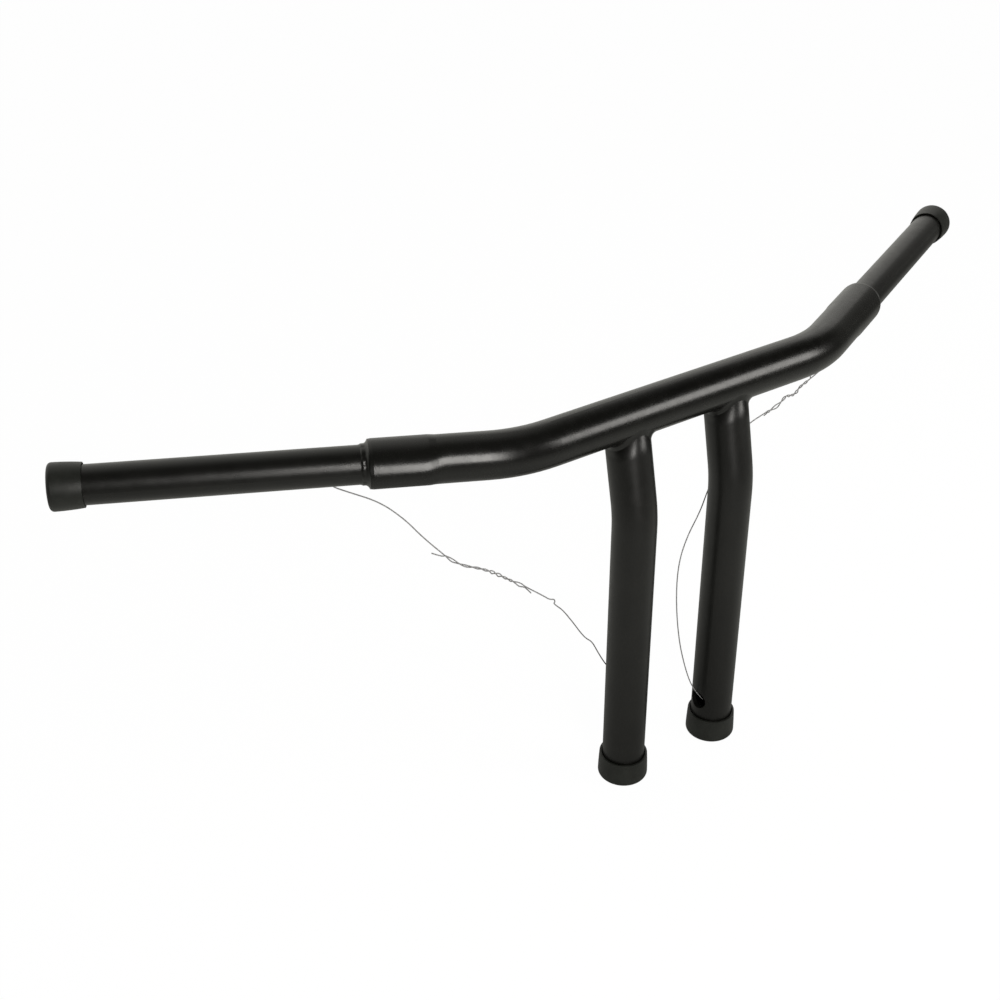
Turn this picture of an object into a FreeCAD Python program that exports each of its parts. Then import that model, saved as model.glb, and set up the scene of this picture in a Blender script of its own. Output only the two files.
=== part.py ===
import FreeCAD
import Part
import math
import os

from FreeCAD import Vector

# Driving sizes, in millimetres and degrees
tube_d = 31.75
tube_bore_d = 25.5
half_straight = 132.2
sweep_deg = 24.85
rise_deg = 1.1
bar_bend_r = 100.0
step_from_bend = 98.1
socket_d = 32.6
socket_length = 38.0
socket_taper = 6.0
socket_lead = 2.2
socket_lead_drop = 0.3
bar_height = 299.1
bar_setback = 12.2

grip_d = 25.4
grip_bore_d = 19.8
grip_length = 191.9
grip_insert = 40.0
grip_hole_d = 11.0
grip_hole_from_step = 29.0

riser_d = 31.75
riser_bore_d = 25.2
riser_spacing = 88.9
riser_kink_z = 228.2
riser_bend_r = 111.0
riser_behind_bar = 3.0
riser_stop = 4.0
riser_hole_d = 15.0
riser_hole_z = 33.0
port_d = 16.0

bung_d = 25.1
bung_height = 23.5
bolt_minor_d = 10.72
bolt_chamfer = 0.4

step_weld_length = 5.6
step_weld_rise = 3.1
riser_weld_leg = 5.5
riser_weld_bead = 0.5

cap_fit = 0.1
cap_floor = 2.8
cap_floor_gap = 0.2
riser_cap_depth = 17.0
riser_cap_rim_r = 18.1
riser_cap_fat_r = 18.85
riser_cap_corner_r = 3.0
grip_cap_depth = 17.8
grip_cap_rim_r = 14.2
grip_cap_fat_r = 15.2
grip_cap_corner_r = 2.6
cap_mouth_gap = 0.75
cap_mouth_depth = 2.4

wire_d = 0.9
twist_d = 1.8

# Shared directions and points
bar_middle = Vector(0, bar_setback, bar_height)
riser_top = bar_middle + Vector(0, riser_behind_bar, 0)
riser_lean = (riser_top - Vector(0, 0, riser_kink_z)).normalize()


def end_direction(side):
    """The way a bar end points, from the middle outwards."""
    sweep = math.radians(sweep_deg)
    rise = math.radians(rise_deg)
    flat = math.cos(rise)
    return Vector(side * math.cos(sweep) * flat, math.sin(sweep) * flat, math.sin(rise))


def bend_point(side):
    """The corner of the cross tube's bend."""
    return Vector(side * half_straight, bar_setback, bar_height)


def step_point(side):
    """The middle of the cross tube's end face."""
    return bend_point(side) + end_direction(side) * step_from_bend


def tangent_points(before, corner, after, radius):
    """Where an arc of this radius leaves the two runs, its middle, its centre, its axis and its turn."""
    back = (before - corner).normalize()
    ahead = (after - corner).normalize()
    turn = math.pi - back.getAngle(ahead)
    reach = radius * math.tan(turn / 2)
    middle = (back + ahead).normalize()
    centre = corner + middle * (radius / math.cos(turn / 2))
    top = centre - middle * radius
    axis = ahead.cross(back)
    return corner + back * reach, corner + ahead * reach, top, centre, axis, turn


def bent_rod(points, bend_r, radius):
    """A solid round rod along straight runs joined by arcs, all of one bend radius."""
    pieces = []
    start = points[0]
    for number in range(1, len(points) - 1):
        before, corner, after = points[number - 1], points[number], points[number + 1]
        leave, meet, top, centre, axis, turn = tangent_points(before, corner, after, bend_r)
        run = leave - start
        pieces.append(Part.makeCylinder(radius, run.Length, start, run))
        disc = Part.Face(Part.Wire(Part.makeCircle(radius, leave, run)))
        axis = run.cross(after - corner)
        pieces.append(disc.revolve(centre, axis, math.degrees(turn)))
        start = meet
    run = points[-1] - start
    pieces.append(Part.makeCylinder(radius, run.Length, start, run))
    return pieces[0].multiFuse(pieces[1:]).removeSplitter()


def turned(profile, base, along):
    """A closed profile of (distance along, radius) points, turned about an axis. A triple is an arc's middle."""
    edges = []
    lathe = [Vector(p[1], 0, p[0]) for p in profile]
    number = 0
    while number < len(profile):
        here = lathe[number]
        after = lathe[(number + 1) % len(profile)]
        if len(profile[(number + 1) % len(profile)]) == 3:
            end = lathe[(number + 2) % len(profile)]
            edges.append(Part.Arc(here, after, end).toShape())
            number += 2
        else:
            edges.append(Part.LineSegment(here, after).toShape())
            number += 1
    face = Part.Face(Part.Wire(edges))
    solid = face.revolve(Vector(0, 0, 0), Vector(0, 0, 1), 360)
    solid.Placement = FreeCAD.Placement(base, FreeCAD.Rotation(Vector(0, 0, 1), along))
    return solid


def socket(side):
    """The cross tube's opened-out end around the grip tube, as a solid round."""
    inner_end = -socket_length
    profile = [
        (inner_end - socket_taper, 0),
        (inner_end - socket_taper, tube_d / 2 - 0.1),
        (inner_end, socket_d / 2),
        (-socket_lead, socket_d / 2),
        (0, socket_d / 2 - socket_lead_drop),
        (0, 0),
    ]
    return turned(profile, step_point(side), end_direction(side))


def crossbar():
    """The main tube, with opened-out ends and a port over each riser for the wiring."""
    points = [step_point(-1), bend_point(-1), bend_point(1), step_point(1)]
    tube = bent_rod(points, bar_bend_r, tube_d / 2)
    tube = tube.multiFuse([socket(-1), socket(1)]).removeSplitter()
    tube = tube.cut(bent_rod(points, bar_bend_r, tube_bore_d / 2))
    for side in (-1, 1):
        joint = riser_top + Vector(side * riser_spacing / 2, 0, 0)
        tube = tube.cut(Part.makeCylinder(port_d / 2, tube_d, joint, riser_lean * -1))
    return tube


def grip_tube(side):
    """The thinner end tube, pushed into the cross tube, with a wiring hole underneath."""
    along = end_direction(side)
    start = step_point(side) - along * grip_insert
    length = grip_insert + grip_length
    tube = Part.makeCylinder(grip_d / 2, length, start, along)
    tube = tube.cut(Part.makeCylinder(grip_bore_d / 2, length, start, along))
    hole = step_point(side) + along * grip_hole_from_step
    return tube.cut(Part.makeCylinder(grip_hole_d / 2, grip_d, hole, Vector(0, 0, -1)))


def step_weld(side):
    """The hollow fillet weld that closes the cross tube's end onto the grip tube."""
    inner = grip_d / 2
    toe = 0.15
    sag_along = 0.3 * step_weld_length
    sag_up = inner + 0.3 * step_weld_rise
    profile = [
        (0, inner),
        (0, inner + step_weld_rise),
        (sag_along, sag_up, "arc"),
        (step_weld_length, inner + toe),
        (step_weld_length, inner),
    ]
    return turned(profile, step_point(side), end_direction(side))


def riser_points(side):
    """The riser's middle line: base, kink and top end, just short of the cross tube's middle."""
    x = Vector(side * riser_spacing / 2, 0, 0)
    return [x, x + Vector(0, 0, riser_kink_z), x + riser_top - riser_lean * riser_stop]


def bar_round(side):
    """The cross tube's outside over one riser, as a solid round."""
    start = bar_middle + Vector(side * riser_spacing / 2 - 2 * tube_d, 0, 0)
    return Part.makeCylinder(tube_d / 2, 4 * tube_d, start, Vector(1, 0, 0))


def riser(side):
    """The riser tube, coped to the cross tube, with a wiring hole on its inner side."""
    points = riser_points(side)
    tube = bent_rod(points, riser_bend_r, riser_d / 2)
    tube = tube.cut(bent_rod(points, riser_bend_r, riser_bore_d / 2))
    tube = tube.cut(bar_round(side))
    hole = Vector(points[0].x, 0, riser_hole_z)
    return tube.cut(Part.makeCylinder(riser_hole_d / 2, riser_d, hole, Vector(-side, 0, 0)))


def weld_section(turn):
    """The weld's section at one angle around the riser, in the riser's own frame at its top."""
    bar_r = tube_d / 2
    own_r = riser_d / 2
    bar_y = -riser_behind_bar * riser_lean.z
    bar_z = -riser_behind_bar * riser_lean.y
    out = Vector(math.sin(turn), -math.cos(turn), 0)
    reach = out.y * own_r - bar_y
    drop = math.sqrt(max(bar_r ** 2 - reach ** 2, (riser_stop + bar_z) ** 2))
    seam = Vector(out.x * own_r, out.y * own_r, bar_z - drop)
    bar_out = Vector(0, reach, -drop).normalize()
    leg = riser_weld_leg * (0.5 + 0.5 * math.sin(turn) ** 2)
    around = bar_out.cross(out).normalize()
    down = around.cross(out).normalize()
    away = bar_out.cross(around).normalize()
    down = down if down.dot(bar_out) > 0 else down * -1
    away = away if away.dot(out) > 0 else away * -1
    low = seam + down * leg
    low_out = Vector(low.x, low.y, 0).normalize() * (own_r - 0.12)
    low = Vector(low_out.x, low_out.y, low.z)
    high = seam + away * leg
    high_out = Vector(0, high.y - bar_y, high.z - bar_z).normalize() * (bar_r - 0.12)
    high = Vector(high.x, bar_y + high_out.y, bar_z + high_out.z)
    lift = (out + bar_out).normalize()
    middle = low * 0.25 + high * 0.25 + (seam + lift * riser_weld_bead) * 0.5
    in_bar = bar_out * (bar_r - 1.2)
    in_bar = Vector(seam.x, bar_y + in_bar.y, bar_z + in_bar.z)
    in_riser = seam - out * 1.2 - Vector(0, 0, 0.6)
    return [low, middle, high, in_bar, in_riser]


def riser_weld(side):
    """The hollow fillet weld around the riser's saddle, lofted through sections across the seam."""
    turned_to = FreeCAD.Rotation(Vector(0, 0, 1), riser_lean)
    frame = FreeCAD.Placement(riser_top + Vector(side * riser_spacing / 2, 0, 0), turned_to)
    sections = []
    steps = 36
    for step in range(steps + 1):
        points = [frame.multVec(p) for p in weld_section(2 * math.pi * (step % steps) / steps)]
        curve = Part.BSplineCurve()
        curve.interpolate(points[:3])
        edges = [curve.toShape()]
        for start, end in ((2, 3), (3, 4), (4, 0)):
            edges.append(Part.LineSegment(points[start], points[end]).toShape())
        sections.append(Part.Wire(edges))
    halves = []
    for first, last in ((0, steps // 2), (steps // 2, steps)):
        halves.append(Part.makeLoft(sections[first : last + 1], True, False))
    points = riser_points(side)
    run = points[2] - points[1]
    stem = Part.makeCylinder(riser_d / 2, run.Length, points[1], run)
    cut = [half.cut(bar_round(side)).cut(stem) for half in halves]
    return cut[0].fuse(cut[1])


def riser_bung(side):
    """The turned insert in the riser's base, bored to the thread's minor size."""
    outer = bung_d / 2
    inner = bolt_minor_d / 2
    profile = [
        (0, inner + bolt_chamfer),
        (bolt_chamfer, inner),
        (bung_height - bolt_chamfer, inner),
        (bung_height, inner + bolt_chamfer),
        (bung_height, outer - 1),
        (bung_height - 1, outer),
        (0, outer),
    ]
    return turned(profile, riser_points(side)[0], Vector(0, 0, 1))


def push_on_cap(end, along, tube_r, depth, rim_r, fat_r, corner_r):
    """A soft cap over a tube's end: a flared cup with a loose mouth and a rounded end."""
    bottom = cap_floor + cap_floor_gap
    fat_at = bottom - corner_r
    inner = tube_r + cap_fit
    mouth = tube_r + cap_mouth_gap
    soft = corner_r * (1 - math.sqrt(0.5))
    swell = -0.35 * depth
    profile = [
        (cap_floor_gap, 0),
        (cap_floor_gap, inner),
        (-depth + cap_mouth_depth, inner),
        (-depth + cap_mouth_depth - 0.5, mouth),
        (-depth, mouth),
        (-depth, rim_r),
        (swell, fat_r - 0.15, "arc"),
        (fat_at, fat_r),
        (bottom - soft, fat_r - soft, "arc"),
        (bottom, fat_r - corner_r),
        (bottom, 0),
    ]
    return turned(profile, end, along)


def riser_cap(side):
    """The cap on a riser's base."""
    base = riser_points(side)[0]
    sizes = (riser_d / 2, riser_cap_depth, riser_cap_rim_r, riser_cap_fat_r, riser_cap_corner_r)
    return push_on_cap(base, Vector(0, 0, -1), *sizes)


def grip_cap(side):
    """The cap on a grip tube's end."""
    end = step_point(side) + end_direction(side) * grip_length
    sizes = (grip_d / 2, grip_cap_depth, grip_cap_rim_r, grip_cap_fat_r, grip_cap_corner_r)
    return push_on_cap(end, end_direction(side), *sizes)


def wire_tube(name, route, diameter):
    """A plain tube along straight runs joined by tangent arcs."""
    points = [Vector(*p) for p in route]
    edges = []
    start = points[0]
    smallest = None
    for number in range(1, len(points) - 1):
        before, corner, after = points[number - 1], points[number], points[number + 1]
        turn = math.pi - (before - corner).getAngle(after - corner)
        shorter = min((before - corner).Length, (after - corner).Length)
        radius = 0.45 * shorter / math.tan(turn / 2)
        leave, meet, top = tangent_points(before, corner, after, radius)[:3]
        edges.append(Part.LineSegment(start, leave).toShape())
        edges.append(Part.Arc(leave, top, meet).toShape())
        start = meet
        smallest = radius if smallest is None else min(smallest, radius)
    edges.append(Part.LineSegment(start, points[-1]).toShape())
    length = sum(edge.Length for edge in edges)
    path = Part.Wire(edges)
    ring = Part.Wire(Part.makeCircle(diameter / 2, points[0], points[1] - points[0]))
    tube = path.makePipeShell([ring], True, False)
    share = tube.Volume / (math.pi * diameter ** 2 / 4 * length)
    print(f"{name}: length {length:.1f} mm, smallest radius {smallest:.1f} mm, volume {share:.3f} of plain")
    return tube


# Routes of the pull wires, from the grip hole to the twist, along it, on to the riser hole and back inside
right_grip_route = [
    (-244.0, 65.1, 290.5),
    (-243.2, 64.9, 283.2),
    (-232.0, 62.6, 279.0),
    (-212.0, 58.0, 267.2),
    (-196.0, 54.1, 250.8),
    (-184.48, 51.32, 233.98),
    (-170.9, 48.05, 217.42),
]
right_twist_route = [
    (-170.9, 48.05, 217.42),
    (-161.82, 45.88, 206.37),
    (-142.2, 41.2, 198.3),
    (-125.06, 37.07, 185.25),
    (-108.94, 33.22, 172.35),
]
right_riser_route = [
    (-108.94, 33.22, 172.35),
    (-91.57, 29.08, 158.45),
    (-76.5, 25.5, 134.5),
    (-62.5, 22.0, 114.0),
    (-50.0, 20.5, 91.0),
    (-37.0, 20.5, 71.0),
    (-27.5, 17.0, 57.5),
    (-22.5, 9.0, 48.8),
    (-25.0, 2.8, 43.0),
    (-30.4, 0.25, 36.4),
]
right_inner_route = [
    (-30.4, 0.25, 36.4),
    (-34.45, -1.66, 31.45),
    (-42.5, -1.2, 28.6),
    (-48.5, -0.8, 38.5),
    (-47.5, 0.0, 55.0),
    (-43.8, 0.6, 84.0),
    (-45.0, -0.5, 128.0),
    (-43.8, 0.4, 172.0),
    (-44.7, 1.0, 210.0),
    (-44.2, 5.0, 244.0),
    (-44.6, 9.6, 276.0),
    (-46.5, 12.8, 296.0),
    (-64.0, 13.6, 297.6),
    (-96.0, 12.9, 298.6),
    (-128.0, 15.6, 297.9),
    (-160.0, 27.0, 298.6),
    (-196.0, 43.4, 299.4),
    (-226.0, 56.6, 303.5),
    (-245.3, 65.43, 302.5),
    (-244.0, 65.1, 290.5),
]
left_grip_route = [
    (244.0, 65.1, 290.5),
    (243.2, 64.9, 282.2),
    (229.0, 60.8, 275.5),
    (206.0, 53.5, 266.0),
    (180.04, 45.62, 259.89),
    (159.34, 39.95, 257.87),
]
left_twist_route = [
    (159.34, 39.95, 257.87),
    (148.07, 36.87, 256.77),
    (131.0, 34.0, 252.6),
    (112.93, 30.74, 251.23),
    (100.56, 28.91, 249.88),
]
left_riser_route = [
    (100.56, 28.91, 249.88),
    (79.96, 25.85, 247.62),
    (62.0, 25.5, 232.0),
    (47.0, 24.5, 207.5),
    (37.0, 21.3, 191.0),
    (22.5, 17.5, 177.5),
    (12.0, 14.0, 159.0),
    (8.7, 10.4, 130.0),
    (11.2, 7.0, 94.0),
    (17.5, 4.4, 65.9),
    (24.6, 2.4, 45.0),
    (30.4, 0.25, 36.4),
]
left_inner_route = [(-p[0], p[1], p[2]) for p in right_inner_route]
left_inner_route[1] = (34.05, -1.1, 30.98)
left_inner_route[-2] = (245.16, 65.39, 302.5)

sides = {"left": 1, "right": -1}
builders = {
    "grip_tube": grip_tube,
    "step_weld": step_weld,
    "riser": riser,
    "riser_weld": riser_weld,
    "riser_bung": riser_bung,
    "riser_cap": riser_cap,
    "grip_cap": grip_cap,
}
wires = {
    "right_grip_wire": (right_grip_route, wire_d),
    "right_wire_twist": (right_twist_route, twist_d),
    "right_riser_wire": (right_riser_route, wire_d),
    "right_inner_wire": (right_inner_route, wire_d),
    "left_grip_wire": (left_grip_route, wire_d),
    "left_wire_twist": (left_twist_route, twist_d),
    "left_riser_wire": (left_riser_route, wire_d),
    "left_inner_wire": (left_inner_route, wire_d),
}

os.makedirs("parts", exist_ok=True)
solids = {"crossbar": crossbar()}
for name, side in sides.items():
    for piece, build in builders.items():
        solids[f"{name}_{piece}"] = build(side)
for name, (route, diameter) in wires.items():
    solids[name] = wire_tube(name, route, diameter)
for name, shape in solids.items():
    print(name, shape.ShapeType, len(shape.Solids), shape.isValid(), round(shape.Volume, 1))
    shape.exportStep(f"parts/{name}.step")
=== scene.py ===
import bmesh
import bpy
import math
from mathutils import Matrix, Vector


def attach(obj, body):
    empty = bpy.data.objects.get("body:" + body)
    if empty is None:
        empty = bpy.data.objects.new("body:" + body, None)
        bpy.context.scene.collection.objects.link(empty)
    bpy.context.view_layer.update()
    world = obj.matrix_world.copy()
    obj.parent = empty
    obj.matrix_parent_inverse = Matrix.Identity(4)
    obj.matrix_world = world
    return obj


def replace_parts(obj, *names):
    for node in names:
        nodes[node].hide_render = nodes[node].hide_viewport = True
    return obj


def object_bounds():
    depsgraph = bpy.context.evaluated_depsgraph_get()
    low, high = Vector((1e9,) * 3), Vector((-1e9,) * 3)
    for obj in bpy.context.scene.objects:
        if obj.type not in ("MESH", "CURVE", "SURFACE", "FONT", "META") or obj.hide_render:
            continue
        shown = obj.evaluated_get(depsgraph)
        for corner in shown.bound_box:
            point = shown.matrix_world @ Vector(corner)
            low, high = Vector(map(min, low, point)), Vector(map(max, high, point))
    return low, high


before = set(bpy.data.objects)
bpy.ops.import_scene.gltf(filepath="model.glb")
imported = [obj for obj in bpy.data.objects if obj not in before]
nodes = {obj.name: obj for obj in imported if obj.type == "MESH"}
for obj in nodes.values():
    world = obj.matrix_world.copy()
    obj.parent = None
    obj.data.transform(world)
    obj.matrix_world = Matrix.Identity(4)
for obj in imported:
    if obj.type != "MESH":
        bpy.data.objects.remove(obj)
cad_low, cad_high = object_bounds()
scene = bpy.context.scene

# The camera stands in front of the motorcycle, on the rider's right, and looks down on the bar.
# Its place and lens were worked out from the tubes' known sizes and their outlines.
camera_place = Vector((-0.61101, -0.65528, 0.75501))
look_right = Vector((0.82066, -0.57139, -0.00464))
look_up = Vector((0.29642, 0.41877, 0.85835))
look_back = Vector((-0.48851, -0.70579, 0.51305))
camera_data = bpy.data.cameras.new("camera")
camera_data.sensor_width = 36
camera_data.lens = 52.794
camera_data.clip_start = 0.01
camera = bpy.data.objects.new("camera", camera_data)
camera_turn = Matrix((look_right, look_up, look_back)).transposed()
camera.matrix_world = Matrix.Translation(camera_place) @ camera_turn.to_4x4()
scene.collection.objects.link(camera)
scene.camera = camera

# The cross tube, grip tubes and risers are welded steel tube under one satin black powder coat.
# The coat flows out when baked, so it is smooth, with a faint orange peel and a slightly uneven gloss.
coat_dark, coat_light = (0.0038, 0.0038, 0.0032), (0.0058, 0.0058, 0.0049)
coat_cloud_scale, coat_gloss_scale, coat_peel_scale = 38.0, 150.0, 620.0
coat_peel_height = 0.000014
tube_rough, riser_rough, crossbar_rough = (0.27, 0.34), (0.33, 0.4), (0.23, 0.29)
bar_y, bar_z = 0.0122, 0.2991
sweep_angle, rise_angle = math.radians(24.85), math.radians(1.1)
end_out = math.cos(sweep_angle) * math.cos(rise_angle)
end_back = math.sin(sweep_angle) * math.cos(rise_angle)
left_end = (end_out, end_back, math.sin(rise_angle))
right_end = (-end_out, end_back, math.sin(rise_angle))
flare_middle, flare_half = 0.191, 0.016
opened_from, opened_to, opened_lift = 0.1796, 0.1956, 0.21
ground_reach, ground_curve = 0.0289, 28.0


def new_finish(name):
    """An empty node material: its node tree, its shader and the piece's own coordinates."""
    finish = bpy.data.materials.new(name)
    finish.use_nodes = True
    tree = finish.node_tree
    coords = tree.nodes.new("ShaderNodeTexCoord").outputs["Object"]
    return finish, tree, tree.nodes["Principled BSDF"], coords


def feed(tree, sockets, values):
    """Gives each socket its value, which is written here or comes from another node."""
    for socket, value in zip(sockets, values):
        if isinstance(value, bpy.types.NodeSocket):
            tree.links.new(value, socket)
        else:
            socket.default_value = value


def combine(tree, operation, *values):
    """One calculation with numbers."""
    maths = tree.nodes.new("ShaderNodeMath")
    maths.operation = operation
    feed(tree, maths.inputs, values)
    return maths.outputs["Value"]


def combine_vectors(tree, operation, *values):
    """One calculation with vectors, which gives a vector, or a number where it measures one."""
    maths = tree.nodes.new("ShaderNodeVectorMath")
    maths.operation = operation
    feed(tree, maths.inputs, values)
    return maths.outputs["Value" if operation in ("DOT_PRODUCT", "LENGTH") else "Vector"]


def graded(tree, value, start, end, low=0.0, high=1.0, grade="LINEAR"):
    """A value that grades from low to high while another one goes from start to end."""
    ramp = tree.nodes.new("ShaderNodeMapRange")
    ramp.interpolation_type = grade
    limits = [ramp.inputs[name] for name in ("Value", "From Min", "From Max", "To Min", "To Max")]
    feed(tree, limits, (value, start, end, low, high))
    return ramp.outputs["Result"]


def mottle(tree, coords, scale, detail=3.0):
    """Even noise over a piece, in features of about one part in scale of a metre."""
    noise = tree.nodes.new("ShaderNodeTexNoise")
    feed(tree, [noise.inputs[name] for name in ("Vector", "Scale", "Detail")], (coords, scale, detail))
    return noise.outputs["Fac"]


def spread(tree, noise, low, high):
    """The noise, most of which lies between 0.3 and 0.7, brought to a range of values."""
    return graded(tree, noise, 0.3, 0.7, low, high)


def tint(tree, noise, dark, light):
    """The noise as a colour between two shades."""
    ramp = tree.nodes.new("ShaderNodeValToRGB")
    first, last = ramp.color_ramp.elements
    first.position, last.position = 0.35, 0.65
    first.color, last.color = (*dark, 1), (*light, 1)
    tree.links.new(noise, ramp.inputs["Fac"])
    return ramp.outputs["Color"]


def relief(tree, noise, height, after=None):
    """A bump of this height in metres, laid over an earlier one."""
    bump = tree.nodes.new("ShaderNodeBump")
    feed(tree, [bump.inputs[name] for name in ("Strength", "Distance", "Height")], (1.0, height, noise))
    if after is not None:
        tree.links.new(after, bump.inputs["Normal"])
    return bump.outputs["Normal"]


def surface(tree, shader, colour, rough, normal):
    """Joins a finish's colour, roughness and relief to its shader."""
    looks = [shader.inputs[name] for name in ("Base Color", "Roughness", "Normal")]
    feed(tree, looks, (colour, rough, normal))


def coat_finish(name, rough, metal=None):
    """Satin black powder coat, over plain tube or over metal with a form of its own."""
    finish, tree, shader, coords = new_finish(name)
    cloud = mottle(tree, coords, coat_cloud_scale)
    gloss = mottle(tree, coords, coat_gloss_scale, detail=5.0)
    under = metal(tree, coords) if metal else None
    peel = relief(tree, mottle(tree, coords, coat_peel_scale, detail=1.0), coat_peel_height, under)
    surface(tree, shader, tint(tree, cloud, coat_dark, coat_light), spread(tree, gloss, *rough), peel)
    return finish


def opened_ends(tree, coords):
    """The cross tube's ends are opened out over their grip tubes.

    The left one is dressed smooth, and the right one is left a little out of round.
    """
    normal = tree.nodes.new("ShaderNodeNewGeometry").outputs["Normal"]
    along_left = combine_vectors(tree, "DOT_PRODUCT", coords, left_end)
    dressed = combine(tree, "COMPARE", along_left, flare_middle, flare_half)
    flare = combine(tree, "MULTIPLY", dressed, combine_vectors(tree, "DOT_PRODUCT", normal, left_end))
    smooth = combine_vectors(tree, "SUBTRACT", normal, combine_vectors(tree, "MULTIPLY", left_end, flare))
    along_right = combine_vectors(tree, "DOT_PRODUCT", coords, right_end)
    opened = graded(tree, along_right, opened_from, opened_to, grade="SMOOTHSTEP")
    lift = combine_vectors(tree, "MULTIPLY", (0, 0, opened_lift), opened)
    return combine_vectors(tree, "NORMALIZE", combine_vectors(tree, "ADD", smooth, lift))


def drawn_in(tree, coords):
    """The riser's end is ground in towards the weld, over the last stretch below the cross tube."""
    from_bar = combine_vectors(tree, "SUBTRACT", coords, (0, bar_y, bar_z))
    across = combine_vectors(tree, "MULTIPLY", from_bar, (0, 1, 1))
    from_edge = combine(tree, "SUBTRACT", ground_reach, combine_vectors(tree, "LENGTH", across))
    near = combine(tree, "MAXIMUM", from_edge, 0.0)
    fall = combine(tree, "MULTIPLY", combine(tree, "POWER", near, 2.0), -ground_curve)
    return relief(tree, fall, 1.0)


def dress(node, finish):
    """Puts one finish on a CAD piece."""
    nodes[node].data.materials.clear()
    nodes[node].data.materials.append(finish)


tube_coat = coat_finish("tube_coat", tube_rough)
riser_coat = coat_finish("riser_coat", riser_rough, drawn_in)
dress("crossbar", coat_finish("crossbar_coat", crossbar_rough, opened_ends))
for side in ("left", "right"):
    dress(side + "_grip_tube", tube_coat)
    dress(side + "_riser", riser_coat)

# Hollow fillet welds close the steps and the risers' saddles, under the same coat.
# The saddles were ground back to a soft ripple.
# The steps were left as run by hand, with a lumpy bead in the hollow.
ripple_scale, ripple_height = 180.0, 0.0003
half_span, corner_to_step = 0.1322, 0.0981
grip_r = 0.0127
weld_length, weld_rise, weld_toe, weld_hollow = 0.0056, 0.0031, 0.00015, 3.7
bead_end, bead_fall, bead_rise = 0.0041, 0.0012, 0.00036
lumps, lump_rise, first_notch = 13, 0.0003, -0.05
lump_wander, wander_waves = 0.7, 3
bead_blend = 4
facets_round, facets_along = 260, 22
weld_edge = math.radians(40)
toward_viewer = Vector((-0.489, -0.706, 0.513))


def washed(tree, coords):
    """The soft ripple of a weld that was ground back."""
    return relief(tree, mottle(tree, coords, ripple_scale, detail=1.0), ripple_height)


def square_to(line):
    """Two directions square to a line and to each other, the first one turned towards the camera."""
    face = (toward_viewer - line * toward_viewer.dot(line)).normalized()
    return face, line.cross(face)


def weld_section():
    """The plain hollow fillet's section, as distances along the grip tube and from its middle line."""
    section = [(0, grip_r)]
    for row in range(facets_along + 1):
        share = row / facets_along
        hollow = (weld_rise - weld_toe) * (1 - share) ** weld_hollow
        section.append((weld_length * share, grip_r + weld_toe + hollow))
    return section + [(weld_length, grip_r)]


def bead_height(angle, reach):
    """How high the hand-run bead stands at one place round the tube and along it."""
    turned = angle - first_notch
    lump = abs(math.sin((lumps * turned + lump_wander * math.sin(wander_waves * turned)) / 2))
    past = min(1, max(0, (reach - bead_end) / bead_fall))
    return (bead_rise + lump_rise * lump) * (1 - past * past * (3 - 2 * past))


def step_bead(name, mirror, end):
    """One hand-run weld: the fillet's section spun round the grip tube, then raised where its bead lies."""
    along = Vector(end).normalized()
    start = Vector((mirror * half_span, bar_y, bar_z)) + along * corner_to_step
    face, side_way = square_to(along)
    shape = bmesh.new()
    section = [shape.verts.new(start + along * reach + face * r) for reach, r in weld_section()]
    outline = [shape.edges.new(pair) for pair in zip(section, section[1:] + section[:1])]
    bmesh.ops.spin(shape, geom=section + outline, cent=start, axis=along,
                   angle=2 * math.pi, steps=facets_round, use_merge=True)
    for vert in shape.verts:
        reach = (vert.co - start).dot(along)
        out = vert.co - start - along * reach
        hollow = out.length - grip_r - weld_toe
        lies_on_tube = hollow < -weld_toe / 2
        if not lies_on_tube:
            bead = bead_height(math.atan2(out.dot(side_way), out.dot(face)), reach)
            raised = (hollow ** bead_blend + bead ** bead_blend) ** (1 / bead_blend)
            vert.co = start + along * reach + out.normalized() * (grip_r + weld_toe + raised)
    bmesh.ops.recalc_face_normals(shape, faces=shape.faces)
    mesh = bpy.data.meshes.new(name)
    shape.to_mesh(mesh)
    shape.free()
    mesh.shade_smooth()
    mesh.set_sharp_from_angle(angle=weld_edge)
    mesh.materials.append(tube_coat)
    weld = bpy.data.objects.new(name, mesh)
    scene.collection.objects.link(weld)
    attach(weld, "bar")
    return weld


saddle_coat = coat_finish("saddle_coat", tube_rough, washed)
for side in ("left", "right"):
    dress(side + "_riser_weld", saddle_coat)
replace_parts(step_bead("left_step_bead", 1, left_end), "left_step_weld")
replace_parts(step_bead("right_step_bead", -1, right_end), "right_step_weld")

# Each riser's foot holds a turned steel bung, bored and threaded for the bolt from below.
# The lathe leaves fine rings on its face and walls.
bung_dark, bung_light = (0.25, 0.25, 0.25), (0.36, 0.36, 0.35)
bung_rough = (0.3, 0.45)
bung_marks_scale = 240.0
lathe_scale, lathe_wander, lathe_height = 420.0, 0.6, 0.00002
bung_steel, tree, shader, coords = new_finish("bung_steel")
lathe_rings = tree.nodes.new("ShaderNodeTexWave")
lathe_rings.wave_type = "BANDS"
lathe_rings.bands_direction = "Z"
ring_inputs = [lathe_rings.inputs[name] for name in ("Vector", "Scale", "Distortion")]
feed(tree, ring_inputs, (coords, lathe_scale, lathe_wander))
marks = mottle(tree, coords, bung_marks_scale)
surface(tree, shader, tint(tree, marks, bung_dark, bung_light), spread(tree, marks, *bung_rough),
        relief(tree, lathe_rings.outputs["Fac"], lathe_height))
shader.inputs["Metallic"].default_value = 1.0
for side in ("left", "right"):
    dress(side + "_riser_bung", bung_steel)

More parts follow.
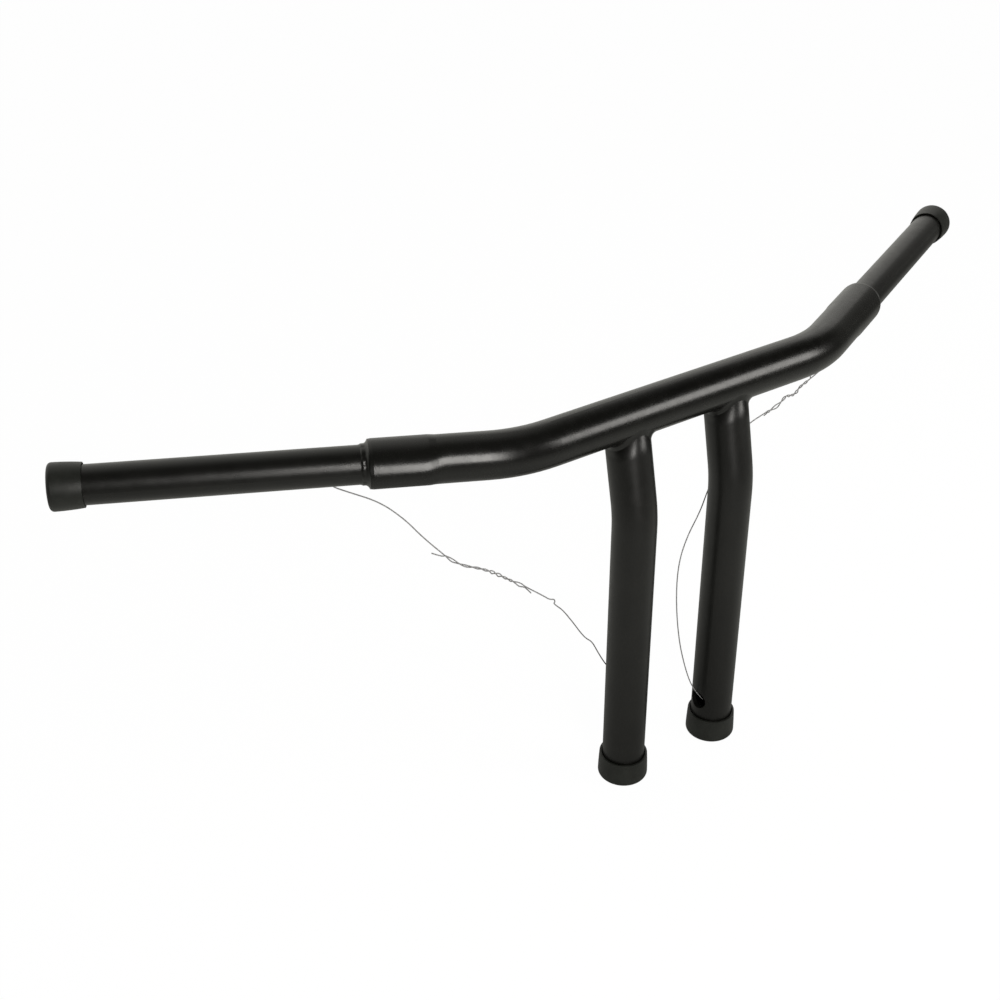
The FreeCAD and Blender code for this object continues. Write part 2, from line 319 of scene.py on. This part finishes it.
# Soft dipped vinyl caps are pushed onto all four tube ends to keep them clean.
# Dipping leaves them matte, with a fine pebble and a faint cloudiness.
vinyl_dark, vinyl_light = (0.0126, 0.0138, 0.0116), (0.0182, 0.0199, 0.0169)
vinyl_rough = (0.38, 0.48)
vinyl_cloud_scale = 70.0
pebble_scale, pebble_height = 1500.0, 0.00003
dimple_scale, dimple_height = 160.0, 0.00012
cap_vinyl, tree, shader, coords = new_finish("cap_vinyl")
cloud = mottle(tree, coords, vinyl_cloud_scale)
pebble = relief(tree, mottle(tree, coords, pebble_scale, detail=2.0), pebble_height)
dimple = relief(tree, mottle(tree, coords, dimple_scale, detail=1.0), dimple_height, pebble)
surface(tree, shader, tint(tree, cloud, vinyl_dark, vinyl_light), spread(tree, cloud, *vinyl_rough), dimple)
shader.inputs["Specular IOR Level"].default_value = 0.4
for side in ("left", "right"):
    dress(side + "_grip_cap", cap_vinyl)
    dress(side + "_riser_cap", cap_vinyl)

# A thin galvanised wire is threaded through each half of the bar, to pull the cables in later.
# It leaves by the hole under the grip and by the hole in the riser's foot.
# Outside the bar its two ends are twisted together by hand.
wire_d = 0.0009
wire_dark, wire_light = (0.27, 0.27, 0.275), (0.39, 0.39, 0.395)
wire_rough = (0.38, 0.55)
spangle_scale, spangle_height = 900.0, 0.00002
points_per_loop, crossing_r = 6, 0.00048

# The routes run from the grip's hole, through the twist, to the riser's hole.
right_grip_route = [
    (-0.244, 0.0651, 0.2905), (-0.2436, 0.065, 0.2872), (-0.232, 0.0626, 0.2798), (-0.212, 0.058, 0.2678),
    (-0.196, 0.0541, 0.2508), (-0.18448, 0.05132, 0.23398), (-0.1709, 0.04805, 0.21742)]
right_twist_route = [
    (-0.1709, 0.04805, 0.21742), (-0.16182, 0.04588, 0.20637), (-0.1422, 0.0412, 0.1983),
    (-0.12506, 0.03707, 0.18525), (-0.10894, 0.03322, 0.17235)]
right_riser_route = [
    (-0.10894, 0.03322, 0.17235), (-0.0995, 0.0308, 0.1648), (-0.0945, 0.0296, 0.1601),
    (-0.0912, 0.0288, 0.1598), (-0.0904, 0.0287, 0.1568), (-0.0916, 0.0289, 0.1562),
    (-0.0895, 0.0284, 0.1536), (-0.0845, 0.0272, 0.1484), (-0.0765, 0.0255, 0.1355), (-0.07, 0.0238, 0.124),
    (-0.066, 0.0228, 0.1182), (-0.0612, 0.0216, 0.114), (-0.057, 0.0206, 0.1046), (-0.05, 0.0205, 0.091),
    (-0.037, 0.0205, 0.071), (-0.0275, 0.017, 0.0575), (-0.0225, 0.009, 0.0488), (-0.025, 0.0028, 0.043),
    (-0.0304, 0.00025, 0.0364)]
left_grip_route = [
    (0.244, 0.0651, 0.2905), (0.2432, 0.0649, 0.2822), (0.229, 0.0608, 0.2755), (0.206, 0.0535, 0.266),
    (0.18004, 0.04562, 0.25989), (0.15934, 0.03995, 0.25787)]
left_twist_route = [
    (0.15934, 0.03995, 0.25787), (0.1522, 0.0384, 0.2565), (0.1458, 0.0371, 0.256), (0.1405, 0.0361, 0.2516),
    (0.1339, 0.0349, 0.2528), (0.1275, 0.0337, 0.2548), (0.1232, 0.0329, 0.2516), (0.1166, 0.0317, 0.25),
    (0.1076, 0.03, 0.2493), (0.10056, 0.02891, 0.24988)]
left_riser_route = [
    (0.10056, 0.02891, 0.24988), (0.07996, 0.02585, 0.24762), (0.062, 0.0255, 0.232), (0.047, 0.0245, 0.2075),
    (0.037, 0.0213, 0.191), (0.0225, 0.0175, 0.1775), (0.012, 0.014, 0.159), (0.0087, 0.0104, 0.13),
    (0.0112, 0.007, 0.094), (0.0175, 0.0044, 0.0659), (0.0246, 0.0024, 0.045), (0.0304, 0.00025, 0.0364)]

# A crossing is a share of the twist's length, and a width is that of the loop after it.
right_crossings = [0.03, 0.2, 0.34, 0.43, 0.51, 0.58, 0.66, 0.73, 0.79, 0.95]
right_widths = [0.0019, 0.0012, 0.0011, 0.0012, 0.0021, 0.0022, 0.0012, 0.0012, 0.0024]
left_crossings = [0.04, 0.15, 0.25, 0.34, 0.43, 0.52, 0.62, 0.85, 0.93]
left_widths = [0.0012, 0.0012, 0.0015, 0.0012, 0.0013, 0.0014, 0.0022, 0.0012]
right_grip_tail = [(-0.1123, 0.0338, 0.1747), (-0.1086, 0.0329, 0.1695)]
right_riser_tail = [(-0.172, 0.048, 0.2159), (-0.179, 0.0497, 0.2203)]
left_grip_tail = [(0.1043, 0.0294, 0.2487), (0.1018, 0.0289, 0.2482)]
left_riser_tail = [(0.16, 0.0398, 0.258), (0.1588, 0.0395, 0.2602)]

wire_steel, tree, shader, coords = new_finish("wire_steel")
spangle = mottle(tree, coords, spangle_scale)
surface(tree, shader, tint(tree, spangle, wire_dark, wire_light), spread(tree, spangle, *wire_rough),
        relief(tree, spangle, spangle_height))
shader.inputs["Metallic"].default_value = 0.35


def smooth_wire(name, points, bevel):
    """A curve object of one smooth spline with these control points."""
    curve = bpy.data.curves.new(name, "CURVE")
    curve.dimensions = "3D"
    curve.resolution_u = 8
    spline = curve.splines.new("NURBS")
    spline.points.add(len(points) - 1)
    for knot, point in zip(spline.points, points):
        knot.co = (*point, 1)
    spline.order_u = 3
    spline.use_endpoint_u = True
    curve.bevel_depth = bevel
    curve.bevel_resolution = 3
    curve.use_fill_caps = bevel > 0
    return bpy.data.objects.new(name, curve)


def along_line(route):
    """Points read along a route's smooth line, and the distance to each."""
    guide = smooth_wire("guide", route, 0)
    mesh = bpy.data.meshes.new_from_object(guide)
    line = [v.co.copy() for v in mesh.vertices]
    far = [0.0]
    for here, after in zip(line, line[1:]):
        far.append(far[-1] + (after - here).length)
    bpy.data.meshes.remove(mesh)
    bpy.data.objects.remove(guide)
    return line, far


def wound(route, crossings, widths, turn_from):
    """One wire's points as it winds round the twist.

    It makes half a turn from each crossing to the next, in loops that each have their own width.
    """
    line, far = along_line(route)
    points = []
    for number, width in enumerate(widths):
        for step in range(points_per_loop):
            share = step / points_per_loop
            place = (crossings[number] + (crossings[number + 1] - crossings[number]) * share) * far[-1]
            index = max(1, min(len(line) - 1, sum(1 for f in far if f < place)))
            ahead = (line[index] - line[index - 1]).normalized()
            at = line[index - 1] + ahead * (place - far[index - 1])
            face, side_way = square_to(ahead)
            angle = math.pi * (number + share + turn_from)
            across = crossing_r + (width / 2 - crossing_r) * math.sin(math.pi * share)
            points.append(at + (face * math.cos(angle) + side_way * math.sin(angle)) * across)
    return points


def pull_wire(name, points, cad_nodes):
    """One end of a pull wire: out of its hole, along its route, round the other end, and a short cut tail."""
    wire = smooth_wire(name, points, wire_d / 2)
    scene.collection.objects.link(wire)
    wire.data.materials.append(wire_steel)
    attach(wire, "bar")
    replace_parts(wire, *cad_nodes)


right_turns = wound(right_twist_route, right_crossings, right_widths, turn_from=0)
right_return = wound(right_twist_route, right_crossings, right_widths, turn_from=1)[::-1]
pull_wire("right_grip_pull_wire", right_grip_route[:-1] + right_turns + right_grip_tail,
          ["right_grip_wire", "right_wire_twist"])
pull_wire("right_riser_pull_wire", right_riser_route[:0:-1] + right_return + right_riser_tail,
          ["right_riser_wire"])
left_turns = wound(left_twist_route, left_crossings, left_widths, turn_from=0)
left_return = wound(left_twist_route, left_crossings, left_widths, turn_from=1)[::-1]
pull_wire("left_grip_pull_wire", left_grip_route[:-1] + left_turns + left_grip_tail,
          ["left_grip_wire", "left_wire_twist"])
pull_wire("left_riser_pull_wire", left_riser_route[:0:-1] + left_return + left_riser_tail,
          ["left_riser_wire"])
for side in ("left", "right"):
    dress(side + "_inner_wire", wire_steel)

# A plain white floor lies under the bar, and reads as a white page that keeps a soft shadow.
# The coat mirrors it as a dimmer, warmer table that glows with painted light, with painted shade under the
# bar and paler painted light behind it.
floor_half = 9.0
page_colour, page_rough, page_sheen = (0.86, 0.86, 0.86, 1), 0.9, 0.1
page_light, page_share = 1.02, 0.96
white, table_tint = (1, 1, 1, 1), (1, 1, 0.92, 1)
table_from, table_to, table_light, table_end_light = 0.25, 1.5, 0.52, 0.08
shade_from, shade_to, shade_light = 0.04, 0.33, 0.23
behind_from, behind_to, behind_light = 0.1, 1.0, 0.7


def blend(tree, kind, share, first, second):
    """A mix of two numbers or two colours, which is all of the second one where the share is one."""
    mix = tree.nodes.new("ShaderNodeMix")
    mix.data_type = kind
    feed(tree, [mix.inputs[name] for name in ("Factor", "A", "B")], (share, first, second))
    return mix.outputs["Result"]


floor_mesh = bpy.data.meshes.new("floor")
shape = bmesh.new()
floor_place = Matrix.Translation((0, 0, cad_low.z))
bmesh.ops.create_grid(shape, x_segments=2, y_segments=2, size=floor_half, matrix=floor_place)
shape.to_mesh(floor_mesh)
shape.free()
floor = bpy.data.objects.new("floor", floor_mesh)
scene.collection.objects.link(floor)
page, tree, shader, coords = new_finish("page")
page_inputs = [shader.inputs[name] for name in ("Base Color", "Roughness", "Specular IOR Level")]
feed(tree, page_inputs, (page_colour, page_rough, page_sheen))
ray = tree.nodes.new("ShaderNodeLightPath")
mirrored = combine(tree, "MAXIMUM", ray.outputs["Is Glossy Ray"], ray.outputs["Is Transmission Ray"])
seen = combine(tree, "MAXIMUM", ray.outputs["Is Camera Ray"], mirrored)
# Painted reflection: seen only in the coat, the floor glows in a painted pool of light fading out from the
# bar, with painted shade close under the bar and a paler glow behind it.
reach = combine_vectors(tree, "LENGTH", coords)
painted_table_glow = graded(tree, reach, table_from, table_to, table_light, table_end_light)
shade = graded(tree, reach, shade_from, shade_to, shade_light, table_light)
place = tree.nodes.new("ShaderNodeSeparateXYZ")
tree.links.new(coords, place.inputs["Vector"])
behind = graded(tree, place.outputs["Y"], behind_from, behind_to, 0.0, behind_light)
mirror_light = combine(tree, "MAXIMUM", combine(tree, "MINIMUM", painted_table_glow, shade), behind)
glow = tree.nodes.new("ShaderNodeEmission")
glow_colour = blend(tree, "RGBA", mirrored, white, table_tint)
glow_light = blend(tree, "FLOAT", mirrored, page_light, mirror_light)
feed(tree, (glow.inputs["Color"], glow.inputs["Strength"]), (glow_colour, glow_light))
lit_page = tree.nodes.new("ShaderNodeMixShader")
page_shares = (combine(tree, "MULTIPLY", seen, page_share), shader.outputs["BSDF"], glow.outputs["Emission"])
feed(tree, lit_page.inputs, page_shares)
tree.links.new(lit_page.outputs["Shader"], tree.nodes["Material Output"].inputs["Surface"])
floor_mesh.materials.append(page)

# The studio is dim in front and pale behind, and a flag keeps its high right side dark.
# Soft boxes stand in front on both sides, and a weak one behind on the right, as the camera sees them.
wall_from, wall_to, wall_dim, wall_pale = -0.15, 0.8, 0.07, 0.85
flag_low, flag_high = 0.38, 0.7
flag_from, flag_to, flag_share = 0.4, 0.5, 0.75
room_tint, lamp_tint = (1, 0.99, 0.925, 1), (1, 0.975, 0.935)
world = bpy.data.worlds.new("studio")
scene.world = world
world.use_nodes = True
tree = world.node_tree
way = tree.nodes.new("ShaderNodeSeparateXYZ")
tree.links.new(tree.nodes.new("ShaderNodeTexCoord").outputs["Generated"], way.inputs["Vector"])
wall = graded(tree, way.outputs["Y"], wall_from, wall_to, wall_dim, wall_pale, "SMOOTHSTEP")
overhead = graded(tree, way.outputs["Z"], flag_low, flag_high, grade="SMOOTHSTEP")
rightward = graded(tree, way.outputs["X"], flag_from, flag_to, 0.0, flag_share, "SMOOTHSTEP")
unflagged = combine(tree, "SUBTRACT", 1.0, combine(tree, "MULTIPLY", overhead, rightward))
room = combine(tree, "MULTIPLY", wall, unflagged)
to_camera = tree.nodes.new("ShaderNodeLightPath").outputs["Is Camera Ray"]
room_colour = blend(tree, "RGBA", to_camera, room_tint, white)
room_light = combine(tree, "MAXIMUM", to_camera, room)
background = tree.nodes["Background"]
feed(tree, (background.inputs["Color"], background.inputs["Strength"]), (room_colour, room_light))


def soft_box(name, place, aim, wide, tall, bright):
    """A rectangular lamp of even brightness, aimed at a point."""
    lamp = bpy.data.lights.new(name, "AREA")
    lamp.shape = "RECTANGLE"
    lamp.size = wide
    lamp.size_y = tall
    lamp.color = lamp_tint
    lamp.energy = bright * math.pi * wide * tall
    box = bpy.data.objects.new(name, lamp)
    box.visible_camera = False
    turn = (Vector(aim) - Vector(place)).to_track_quat("-Z", "Y").to_matrix()
    box.matrix_world = Matrix.Translation(place) @ turn.to_4x4()
    scene.collection.objects.link(box)


soft_box("front_right_box", place=(0.94, -1.06, 0.8), aim=(0, 0.01, 0.3),
         wide=0.68, tall=0.6, bright=6.8)
soft_box("front_left_box", place=(-0.54, -1.34, 0.78), aim=(-0.2, 0.05, 0.3),
         wide=0.36, tall=0.82, bright=13.0)
soft_box("back_right_box", place=(1.0, 0.6, 0.97), aim=(0.28, 0.09, 0.3),
         wide=0.7, tall=0.35, bright=0.6)

scene.view_settings.view_transform = "Standard"
